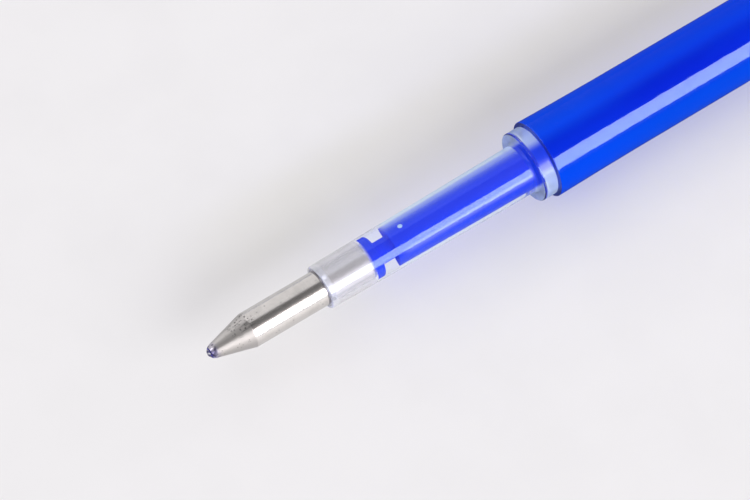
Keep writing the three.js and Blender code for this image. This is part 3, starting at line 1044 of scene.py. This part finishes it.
@dataclass
class WritingPoint(SubAssembly):
    """The ball, its crimped metal tip, the ball spring and the ink that wets the lip."""

    ball_diameter: float = 0.7
    socket_gap: float = 0.02
    lip_diameter: float = 0.746
    crimp_length: float = 0.22
    crimp_diameter: float = 0.952
    cone_length: float = 2.72
    lip_rounding: float = 0.012
    crimp_rounding: float = 0.06
    shoulder_rounding: float = 0.07
    shank_rounding: float = 0.03
    shank_diameter: float = 2.3
    shank_chamfer: float = 0.12
    capillary_diameter: float = 0.36
    capillary_length: float = 0.5
    feed_diameter: float = 0.6
    feed_past_cone: float = 0.6
    bore_taper: float = 0.5
    spring_bore_diameter: float = 1.2
    rim_diameter: float = 0.8
    rim_length: float = 0.3
    wet_front: float = 0.125
    wet_front_diameter: float = 0.548
    wet_bore_diameter: float = 0.652
    wet_proud: float = 0.012
    wet_depth: float = 0.01
    wet_front_rounding: float = 0.01
    wet_edge_rounding: float = 0.02
    ball_subdivisions: int = 5

    def ball(self) -> bpy.types.Object:
        """The rolling ball, in its place in the socket.

        Returns:
            The ball.
        """
        radius = self.ball_diameter / 2
        shape = bmesh.new()
        bmesh.ops.create_icosphere(shape, subdivisions=self.ball_subdivisions, radius=radius * MM)
        bmesh.ops.translate(shape, verts=shape.verts[:], vec=self.lathe.place(radius, 0))
        piece = finished_piece("rolling_ball", shape)
        return self.dress(piece, InkyCarbide("inky carbide", self.lathe), Body.BALL, Slot.CARBIDE,
                          "writing_ball")

    def tip(self) -> bpy.types.Object:
        """The metal tip: crimped lip, cone and shank outside, socket and stepped bore inside.

        Returns:
            The tip.
        """
        front, rear = self.lathe.ends("tip_body")
        cone_rear = front + self.cone_length
        centre = self.ball_diameter / 2
        socket = centre + self.socket_gap
        capillary, feed = self.capillary_diameter / 2, self.feed_diameter / 2
        spring_bore, rim = self.spring_bore_diameter / 2, self.rim_diameter / 2
        shank = self.shank_diameter / 2
        seat = centre + math.sqrt(socket ** 2 - capillary ** 2)
        seat_angle = math.degrees(math.asin(capillary / socket))
        lip_angle = math.degrees(math.acos((front - centre) / socket))
        capillary_rear = seat + self.capillary_length
        feed_rear = cone_rear + self.feed_past_cone
        outline = Outline(self.lathe)
        outline.to(front, self.lip_diameter / 2, self.lip_rounding)
        outline.to(front + self.crimp_length, self.crimp_diameter / 2, self.crimp_rounding)
        outline.to(cone_rear, shank, self.shoulder_rounding)
        outline.to(rear - self.shank_chamfer, shank, self.shank_rounding)
        outline.to(rear, shank - self.shank_chamfer)
        outline.to(rear, rim).to(rear - self.rim_length, rim).to(rear - self.rim_length, spring_bore)
        outline.to(feed_rear + self.bore_taper, spring_bore).to(feed_rear, feed)
        outline.to(capillary_rear, feed).to(capillary_rear, capillary)
        outline.to(seat, capillary).sweep(centre, seat_angle - lip_angle)
        piece = outline.turn("turned_tip")
        return self.dress(piece, TurnedMetal("turned nickel silver", self.lathe), Body.REFILL,
                          Slot.TIP_METAL, "tip_body")

    def wet_ring(self) -> bpy.types.Object:
        """The ring of ink that stands between the ball and the lip.

        Returns:
            The ring.
        """
        front, _ = self.lathe.ends("tip_body")
        lip, inner = self.lip_diameter / 2, front + self.wet_depth
        outline = Outline(self.lathe)
        outline.to(self.wet_front, self.wet_front_diameter / 2, self.wet_front_rounding)
        outline.to(front - self.wet_proud, lip - self.wet_proud, self.wet_edge_rounding)
        outline.to(inner, lip - self.wet_depth).to(inner, self.wet_bore_diameter / 2)
        piece = outline.turn("wet_ink_ring")
        return self.dress(piece, WetInk("wet ink", self.lathe), Body.REFILL, Slot.BLUE_INK)

    def spring(self) -> bpy.types.Object:
        """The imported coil, which keeps its shape and gets its wire finish.

        Returns:
            The CAD node's object.
        """
        coil = frame["nodes"]["ball_spring"]
        coil.data.materials.clear()
        coil.data.materials.append(DrawnWire("drawn wire", self.lathe).material())
        return coil

    def build(self) -> list[bpy.types.Object]:
        """Makes the pieces of the writing point."""
        return [self.ball(), self.tip(), self.wet_ring(), self.spring()]


@dataclass
class TipHolder(SubAssembly):
    """The clear moulding that holds the tip, with the ink and a bubble inside it."""

    collar_diameter: float = 2.9
    tip_bore_diameter: float = 2.3
    lead_in_length: float = 0.4
    lead_in_wall: float = 0.13
    chamber_diameter: float = 1.78
    stop_front: float = 12.1
    stop_rear: float = 13.1
    stop_bore_diameter: float = 0.96
    drill_point: float = 0.2
    neck_bore_front: float = 1.72
    neck_bore_rear: float = 1.86
    neck_diameter: float = 3.28
    flange_front: float = 23.1
    flange_rear: float = 24.1
    flange_diameter: float = 4.72
    spigot_root_diameter: float = 4.34
    spigot_diameter: float = 4.2
    spigot_taper_rear: float = 28.5
    spigot_lead_in: float = 0.7
    spigot_nose_diameter: float = 4.0
    spigot_bore_diameter: float = 3.5
    spigot_bore_front: float = 24.75
    funnel_length: float = 0.9
    bore_rounding: float = 0.1
    collar_rounding: float = 0.08
    neck_fillet: float = 0.2
    flange_rounding: float = 0.09
    lead_in_rounding: float = 0.1
    thin_edge_rounding: float = 0.03
    ink_front_lap: float = 0.01
    ink_rear_lap: float = 0.06
    bubble_station: float = 14.15
    bubble_angle: float = 22.0
    bubble_diameter: float = 0.26
    bubble_shape: Triple = (1.25, 1.0, 0.4)
    bubble_subdivisions: int = 3

    def bore(self, outline: Outline, chamber_front: float, rear: float, grow: float) -> None:
        """Draws the ink's way through the holder, from the rear forwards.

        Args:
            outline: The outline that goes on.
            chamber_front: Station of the wall behind the tip.
            rear: Station of the spigot's mouth.
            grow: Millimetres that the bore is widened by.
        """
        spigot = self.spigot_bore_diameter / 2 + grow
        stop = self.stop_bore_diameter / 2 + grow
        chamber = self.chamber_diameter / 2 + grow
        soft = self.bore_rounding
        outline.to(rear, spigot).to(self.spigot_bore_front, spigot, 2 * soft)
        outline.to(self.spigot_bore_front - self.funnel_length, self.neck_bore_rear / 2 + grow, soft)
        outline.to(self.stop_rear - grow, self.neck_bore_front / 2 + grow, soft)
        outline.to(self.stop_rear + self.drill_point - grow, stop, soft)
        outline.to(self.stop_front + grow, stop, soft)
        outline.to(self.stop_front + grow, chamber, soft).to(chamber_front, chamber)

    def moulding(self) -> bpy.types.Object:
        """The clear holder, with collar, neck, flange and spigot.

        Returns:
            The holder.
        """
        front, rear = self.lathe.ends("tip_holder")
        chamber_front, _ = self.lathe.ends("neck_ink")
        tip_bore = self.tip_bore_diameter / 2 - WETTED_OVERLAP
        flange, spigot = self.flange_diameter / 2, self.spigot_diameter / 2
        outline = Outline(self.lathe)
        outline.to(front, self.collar_diameter / 2, self.collar_rounding)
        outline.to(self.flange_front, self.neck_diameter / 2, self.neck_fillet)
        outline.to(self.flange_front, flange, self.flange_rounding)
        outline.to(self.flange_rear, flange, self.flange_rounding)
        outline.to(self.flange_rear, self.spigot_root_diameter / 2).to(self.spigot_taper_rear, spigot)
        outline.to(rear - self.spigot_lead_in, spigot)
        outline.to(rear, self.spigot_nose_diameter / 2, self.thin_edge_rounding)
        self.bore(outline, chamber_front, rear, 0.0)
        outline.to(chamber_front, tip_bore)
        outline.to(front + self.lead_in_length, tip_bore, self.lead_in_rounding)
        outline.to(front, tip_bore + self.lead_in_wall, self.thin_edge_rounding)
        piece = outline.turn("clear_holder")
        return self.dress(piece, ClearMoulding("clear moulding", self.lathe), Body.REFILL,
                          Slot.CLEAR_PLASTIC, "tip_holder")

    def ink(self) -> bpy.types.Object:
        """The ink that fills the holder's bore.

        Returns:
            The ink.
        """
        chamber_front, spigot_rear = self.lathe.ends("neck_ink")
        front, rear = chamber_front - self.ink_front_lap, spigot_rear + self.ink_rear_lap
        outline = Outline(self.lathe)
        outline.to(rear, 0)
        self.bore(outline, front, rear, WETTED_OVERLAP)
        outline.to(front, 0)
        piece = outline.turn("holder_ink", closed=False)
        return self.dress(piece, GelInk("gel ink", self.lathe), Body.REFILL, Slot.BLUE_INK, "neck_ink")

    def bubble(self) -> bpy.types.Object:
        """A flattened bubble that clings to the neck's bore, on its upper +Y side.

        Returns:
            The bubble.
        """
        wall = self.neck_bore_front / 2 * self.lathe.inset
        turn = Matrix.Rotation(math.radians(-self.bubble_angle), 3, "X")
        shape = bmesh.new()
        bmesh.ops.create_icosphere(shape, subdivisions=self.bubble_subdivisions,
                                   radius=self.bubble_diameter / 2 * MM)
        bmesh.ops.scale(shape, verts=shape.verts[:], vec=self.bubble_shape)
        bmesh.ops.translate(shape, verts=shape.verts[:], vec=(0, 0, wall * MM))
        bmesh.ops.rotate(shape, verts=shape.verts[:], cent=(0, 0, 0), matrix=turn)
        bmesh.ops.translate(shape, verts=shape.verts[:], vec=self.lathe.place(self.bubble_station, 0))
        piece = finished_piece("ink_bubble", shape)
        return self.dress(piece, AirBubble("air bubble", self.lathe), Body.REFILL, Slot.BLUE_INK)

    def build(self) -> list[bpy.types.Object]:
        """Makes the pieces of the holder."""
        return [self.moulding(), self.ink(), self.bubble()]


@dataclass
class InkReservoir(SubAssembly):
    """The clear tube and the column of ink in it."""

    bell_diameter: float = 5.22
    bell_bore_diameter: float = 4.38
    bell_length: float = 4.35
    tube_diameter: float = 5.08
    bore_diameter: float = 4.24
    outer_rounding: float = 0.06
    inner_rounding: float = 0.03
    bell_rounding: float = 1.5
    film_inset: float = 0.1
    film_depth: float = 0.022
    ink_lap: float = 0.01

    def tube(self) -> bpy.types.Object:
        """The tube, swollen at its mouth where it is pressed over the spigot.

        Returns:
            The tube.
        """
        front, rear = self.lathe.ends("reservoir_tube")
        bell_rear = front + self.bell_length
        outside, bore = self.tube_diameter / 2, self.bore_diameter / 2
        outline = Outline(self.lathe)
        outline.to(front, self.bell_diameter / 2, self.outer_rounding)
        outline.to(bell_rear, outside, self.bell_rounding).to(rear, outside, self.outer_rounding)
        outline.to(rear, bore, self.inner_rounding).to(bell_rear, bore)
        outline.to(front, self.bell_bore_diameter / 2, self.inner_rounding)
        piece = outline.turn("clear_tube", steps=TUBE_STEPS)
        return self.dress(piece, ExtrudedTube("extruded tube", self.lathe), Body.REFILL,
                          Slot.TUBE_PLASTIC, "reservoir_tube")

    def film(self) -> bpy.types.Object:
        """The film of ink that is drawn into the press fit of the tube on the spigot.

        Returns:
            The film.
        """
        mouth, _ = self.lathe.ends("reservoir_tube")
        _, rear = self.lathe.ends("tip_holder")
        front, bell_rear = mouth + self.film_inset, mouth + self.bell_length
        bore = self.bore_diameter / 2 + WETTED_OVERLAP
        bell_bore = self.bell_bore_diameter / 2 + WETTED_OVERLAP
        outline = Outline(self.lathe)
        outline.to(front, bell_bore).to(bell_rear, bore).to(rear, bore)
        outline.to(rear, bore - self.film_depth).to(bell_rear, bore - self.film_depth)
        outline.to(front, bell_bore - self.film_depth)
        piece = outline.turn("fit_film", steps=TUBE_STEPS)
        return self.dress(piece, GelInk("gel ink film", self.lathe), Body.REFILL, Slot.BLUE_INK)

    def ink(self) -> bpy.types.Object:
        """The ink column, from the spigot's mouth to the rear of its CAD node.

        Returns:
            The ink column.
        """
        _, rear = self.lathe.ends("ink_column")
        front = self.lathe.ends("tip_holder")[1] - self.ink_lap
        wall = self.bore_diameter / 2 + WETTED_OVERLAP
        outline = Outline(self.lathe)
        outline.to(front, 0).to(front, wall).to(rear, wall).to(rear, 0)
        piece = outline.turn("tube_ink", closed=False, steps=TUBE_STEPS)
        self.dress(piece, GelInk("gel ink column", self.lathe), Body.REFILL, Slot.BLUE_INK,
                   "ink_column")
        travel = next(j["range_m"][1] for j in frame["joints"] if j["name"] == "follower_slide") / MM
        self.lathe.place(front, 0)
        1 - travel / (rear - front)
        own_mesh(piece)
        return piece

    def build(self) -> list[bpy.types.Object]:
        """Makes the pieces of the reservoir."""
        return [self.tube(), self.film(), self.ink()]


@dataclass
class Follower(SubAssembly):
    """The grease plug behind the ink and the float in it."""

    bore_diameter: float = 4.24
    float_diameter: float = 3.0
    nose_diameter: float = 1.5
    nose_length: float = 1.2
    cup_diameter: float = 1.8
    cup_depth: float = 2.5
    wall_gap: float = 0.005
    pocket_gap: float = 0.01
    meniscus: float = 0.25
    grease_rounding: float = 0.05
    pocket_rounding: float = 0.1
    nose_rounding: float = 0.15
    shoulder_rounding: float = 0.3
    rear_rounding: float = 0.12
    cup_rounding: float = 0.1
    cup_fillet: float = 0.3

    def grease(self) -> bpy.types.Object:
        """The grease plug, with a pocket for the float.

        Returns:
            The grease.
        """
        front, rear = self.lathe.ends("follower_grease")
        float_front, _ = self.lathe.ends("follower_float")
        wall = self.bore_diameter / 2 - self.wall_gap
        pocket, pocket_front = self.float_diameter / 2 + self.pocket_gap, float_front - self.pocket_gap
        outline = Outline(self.lathe)
        outline.to(front, 0).to(front, wall, self.grease_rounding).to(rear, wall, self.meniscus)
        outline.to(rear - self.meniscus, pocket, self.pocket_rounding)
        outline.to(float_front + self.nose_length, pocket, self.shoulder_rounding)
        outline.to(pocket_front, self.nose_diameter / 2, self.pocket_rounding).to(pocket_front, 0)
        piece = outline.turn("grease_plug", closed=False)
        return self.dress(piece, FollowerJelly("follower grease", self.lathe), Body.FOLLOWER,
                          Slot.GREASE, "follower_grease")

    def float_plug(self) -> bpy.types.Object:
        """The moulded float, with a blunt nose and a hollow rear.

        Returns:
            The float.
        """
        front, rear = self.lathe.ends("follower_float")
        wall, cup = self.float_diameter / 2, self.cup_diameter / 2
        cup_floor = rear - self.cup_depth
        outline = Outline(self.lathe)
        outline.to(front, 0).to(front, self.nose_diameter / 2, self.nose_rounding)
        outline.to(front + self.nose_length, wall, self.shoulder_rounding)
        outline.to(rear, wall, self.rear_rounding).to(rear, cup, self.cup_rounding)
        outline.to(cup_floor, cup, self.cup_fillet).to(cup_floor, 0)
        piece = outline.turn("float_plug", closed=False)
        return self.dress(piece, MilkyPlastic("milky float", self.lathe), Body.FOLLOWER,
                          Slot.MILKY_PLASTIC, "follower_float")

    def build(self) -> list[bpy.types.Object]:
        """Makes the pieces of the follower."""
        return [self.grease(), self.float_plug()]


@dataclass
class TailPlug(SubAssembly):
    """The vented plug that closes the tail of the tube."""

    stem_diameter: float = 4.24
    lead_in: float = 0.4
    lead_drop: float = 0.2
    head_thickness: float = 0.75
    head_diameter: float = 5.08
    head_rounding: float = 0.4
    wall: float = 0.55
    vent_diameter: float = 0.8
    stem_press: float = 0.004
    edge_rounding: float = 0.06
    lead_rounding: float = 0.1
    vent_rounding: float = 0.12
    vent_inner_rounding: float = 0.05
    floor_fillet: float = 0.15

    def plug(self) -> bpy.types.Object:
        """The plug, with a hollow stem and a vent through its head.

        Returns:
            The plug.
        """
        front, rear = self.lathe.ends("tail_plug")
        head_front = rear - self.head_thickness
        stem = self.stem_diameter / 2 + self.stem_press
        head, vent, hollow = self.head_diameter / 2, self.vent_diameter / 2, stem - self.wall
        outline = Outline(self.lathe)
        outline.to(front, stem - self.lead_drop, self.edge_rounding)
        outline.to(front + self.lead_in, stem, self.lead_rounding).to(head_front, stem)
        outline.to(head_front, head, self.edge_rounding).to(rear, head, self.head_rounding)
        outline.to(rear, vent, self.vent_rounding).to(head_front, vent, self.vent_inner_rounding)
        outline.to(head_front, hollow, self.floor_fillet).to(front, hollow, self.edge_rounding)
        piece = outline.turn("vented_plug")
        return self.dress(piece, MilkyPlastic("milky plug", self.lathe), Body.REFILL,
                          Slot.MILKY_PLASTIC, "tail_plug")

    def build(self) -> list[bpy.types.Object]:
        """Makes the pieces of the tail."""
        return [self.plug()]


@dataclass
class Studio:
    """The table, the softbox, the room's light and the camera."""

    lathe: Lathe
    table_half: float = 6.0
    aim_station: float = 12.31
    aim_side: float = 0.315
    camera_azimuth: float = -34.01
    camera_elevation: float = 61.01
    camera_distance: float = 230.0
    lens: float = 181.8
    box_direction: Triple = (0.27, -0.850, 0.452)
    box_distance: float = 1.2
    shine_size: Span = (0.80, 0.74)
    shine_radiance: float = 10.5
    shine_tint: Colour = (1.0, 0.95, 0.95)
    key_size: Span = (1.5, 0.6)
    key_radiance: float = 5.6
    key_tint: Colour = (1.0, 1.0, 1.0)
    air_tint: Colour = (1.0, 0.99, 1.0)
    fill_level: float = 0.32
    back_fill_level: float = 1.0
    wall_level: float = 0.87
    dim_level: float = 0.15
    dark_level: float = 0.12
    dark_level_ahead: float = 0.30
    front_level: float = 0.45
    ahead_level: float = 1.08
    strip_level: float = 4.5
    clear_level: float = 0.95
    pale_level: float = 0.93
    ahead: Span = (0.05, -0.15)
    dimmed: Span = (0.24, 0.36)
    front: Span = (0.60, 0.68)
    front_shift: float = 0.06
    dark: Span = (-0.24, -0.12)
    dark_shift: float = 0.44
    strip: Window = ((-0.58, -0.50), (-0.14, -0.22))
    strip_to_rear: Span = (0.50, 0.58)
    strip_to_front: Span = (-0.48, -0.54)
    filled_side: Span = (-0.4, 0.4)

    def table(self) -> bpy.types.Object:
        """The pale table that the refill lies on.

        Returns:
            The table.
        """
        shape = bmesh.new()
        bmesh.ops.create_grid(shape, x_segments=1, y_segments=1, size=self.table_half)
        piece = finished_piece("table", shape)
        piece.data.materials.append(PaleTable("pale table", self.lathe).material())
        return piece

    def softbox(self, name: str, size: Span, radiance: float, tint: Colour,
                mirrored: bool) -> bpy.types.Object:
        """A soft light, low in front of the refill.

        Args:
            name: Name of the light.
            size: Its width and height.
            radiance: Brightness of its face.
            tint: Its colour.
            mirrored: True if it only shows in shiny things, False if it only lights dull ones.

        Returns:
            The light.
        """
        light = bpy.data.lights.new(name, "AREA")
        light.shape, light.color = "RECTANGLE", tint
        light.size, light.size_y = size
        light.energy = radiance * math.pi * size[0] * size[1]
        towards = Vector(self.box_direction).normalized()
        across = (Vector((1, 0, 0)) - towards * towards.x).normalized()
        turn = Matrix((across, towards.cross(across), towards)).transposed()
        piece = bpy.data.objects.new(name, light)
        piece.matrix_world = Matrix.Translation(towards * self.box_distance) @ turn.to_4x4()
        piece.visible_camera = piece.visible_transmission = False
        piece.visible_glossy, piece.visible_diffuse = mirrored, not mirrored
        bpy.context.scene.collection.objects.link(piece)
        return piece

    def room(self) -> None:
        """The room's light: a pale wall with two strips, a dark band overhead and a dimmer front."""
        world = bpy.data.worlds.new("studio room")
        world.use_nodes = True
        bpy.context.scene.world = world
        recipe = Recipe(world.node_tree)
        way = recipe.add("ShaderNodeSeparateXYZ", None,
                         {0: recipe.add("ShaderNodeTexCoord", out="Generated")})
        along, side, up = way.part("X"), way.part("Y"), way.part("Z")
        lean = (0 - side) / (side * side + up * up) ** 0.5
        ahead = recipe.rise(along, *self.ahead)
        front = recipe.rise(lean + self.front_shift * ahead, *self.front)
        dark = recipe.rise(lean + self.dark_shift * ahead, *self.dark) * (1 - front)
        deep = self.dark_level + (self.dark_level_ahead - self.dark_level) * ahead
        wall = self.wall_level - (self.wall_level - self.dim_level) * recipe.rise(along, *self.dimmed)
        bright = self.front_level + (self.ahead_level - self.front_level) * ahead
        strips = recipe.band(lean, *self.strip) \
            * (recipe.rise(along, *self.strip_to_rear) + recipe.rise(along, *self.strip_to_front))
        mirrored = wall - (wall - deep) * dark - (wall - bright) * front + self.strip_level * strips
        behind = recipe.rise(side, *self.filled_side)
        fill = self.fill_level + (self.back_fill_level - self.fill_level) * behind
        path = recipe.add("ShaderNodeLightPath")
        through = path.part("Is Transmission Ray")
        again = through * recipe.rise(path.part("Glossy Depth"), 0.0, 1.0)
        mirrors = path.part("Is Glossy Ray") * (1 - through) + again
        shown = fill + (mirrored - fill) * mirrors + (self.clear_level - fill) * (through - again) \
            + (self.pale_level - fill) * path.part("Is Camera Ray")
        background = recipe.add("ShaderNodeBackground", None,
                                {"Color": (*self.air_tint, 1.0), "Strength": shown})
        recipe.add("ShaderNodeOutputWorld", None, {"Surface": background})

    def camera(self) -> bpy.types.Object:
        """The camera at the photograph's angle.

        Returns:
            The camera, set as the scene's own.
        """
        turn, tilt = math.radians(self.camera_azimuth), math.radians(self.camera_elevation)
        back = Vector((math.sin(turn) * math.cos(tilt), -math.cos(turn) * math.cos(tilt),
                       math.sin(tilt)))
        aim = self.lathe.place(self.aim_station, 0) + Vector((0, self.aim_side * MM, 0))
        lens = bpy.data.cameras.new("camera")
        lens.lens, lens.sensor_width, lens.clip_start = self.lens, SENSOR_WIDTH, NEAREST_SEEN
        piece = bpy.data.objects.new("camera", lens)
        piece.rotation_euler = back.to_track_quat("Z", "Y").to_euler()
        piece.location = aim + back * self.camera_distance * MM
        bpy.context.scene.collection.objects.link(piece)
        bpy.context.scene.camera = piece
        return piece

    def build(self) -> list[bpy.types.Object]:
        """Sets the table, the lights and the camera.

        Returns:
            The table, the camera and the two softboxes.
        """
        self.room()
        bpy.context.scene.view_settings.view_transform = "Standard"
        return [self.table(), self.camera(),
                self.softbox("shine", self.shine_size, self.shine_radiance, self.shine_tint, True),
                self.softbox("key", self.key_size, self.key_radiance, self.key_tint, False)]


def main() -> None:
    """Builds the sub-assemblies and the studio, and reports each piece."""
    logging.basicConfig(level=logging.INFO, format="%(name)s: %(message)s")
    lathe = Lathe(InkReservoir.bell_diameter)
    for group in (WritingPoint(lathe), TipHolder(lathe), InkReservoir(lathe), Follower(lathe),
                  TailPlug(lathe), Studio(lathe)):
        for piece in group.build():
            LOG.info("%s: %s", type(group).__name__, piece.name)


if __name__ == "__main__":
    main()
